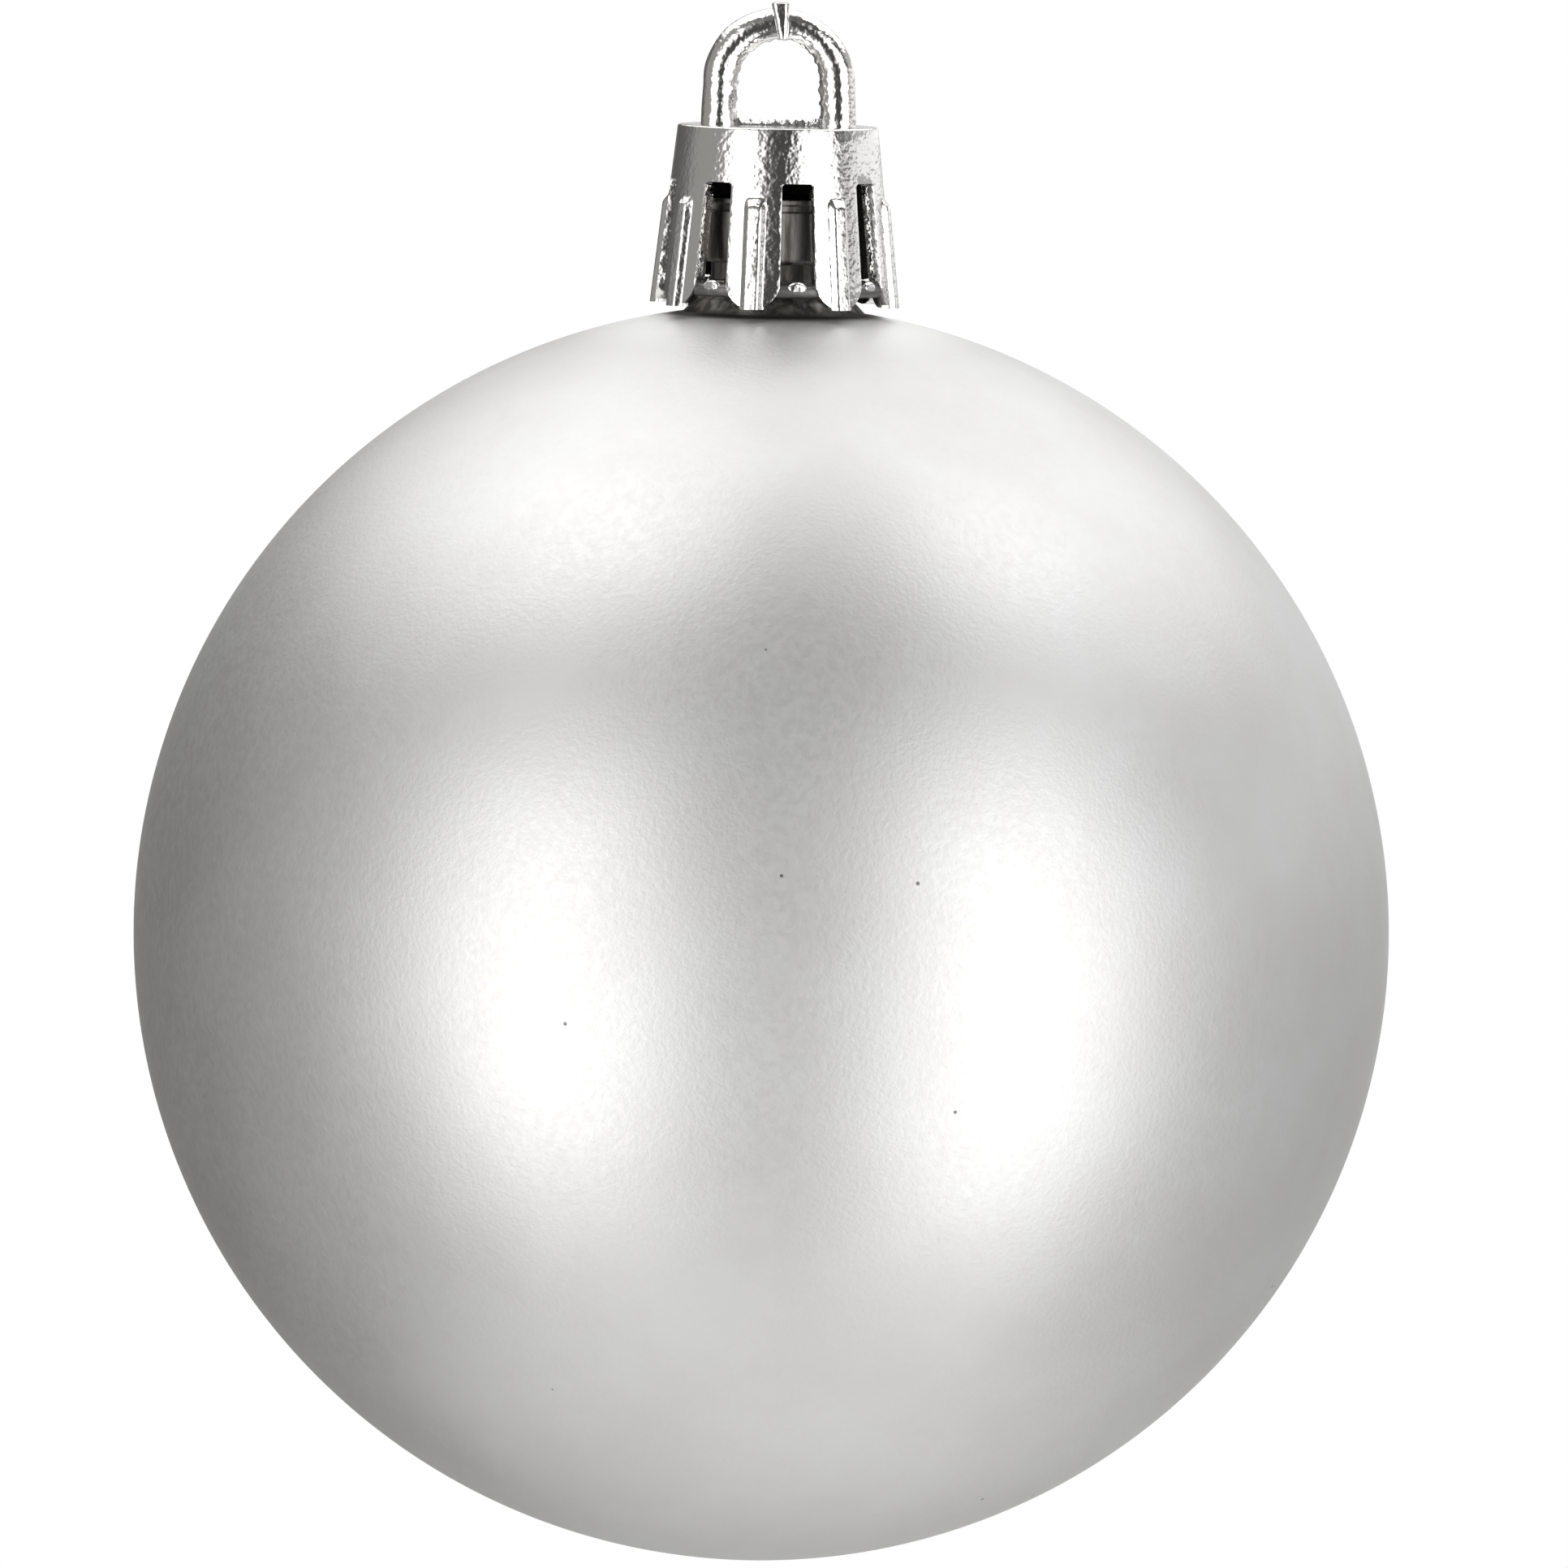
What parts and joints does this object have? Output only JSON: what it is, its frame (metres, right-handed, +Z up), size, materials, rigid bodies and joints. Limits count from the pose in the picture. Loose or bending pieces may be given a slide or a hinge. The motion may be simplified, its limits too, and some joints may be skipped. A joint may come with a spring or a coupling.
{
  "type": "christmas ball ornament",
  "caption": "Round hanging tree ornament: a hollow satin ball with a short neck, and a bright push-on crown cap with a moulded hanging loop.",
  "frame": {"origin": "underside of the hanging loop's crown, where a hook or cord bears", "axes": "+Z up along the ball's and the cap's common axis; the loop stands in the XZ plane, so a hook passes through it along Y"},
  "size_m": [0.06, 0.06, 0.0744],
  "materials": {
    "satin_lacquer": "satin",
    "plated_plastic": "polished"
  },
  "bodies": {
    "cap": {"cap": "plated_plastic"},
    "ball": {"ball": "satin_lacquer"}
  },
  "joints": [
    {"name": "ball_swivel", "type": "hinge", "parent": "cap", "child": "ball", "pos_m": [0, 0, -0.0095], "axis": [0, 0, 1], "continuous": true}
  ]
}
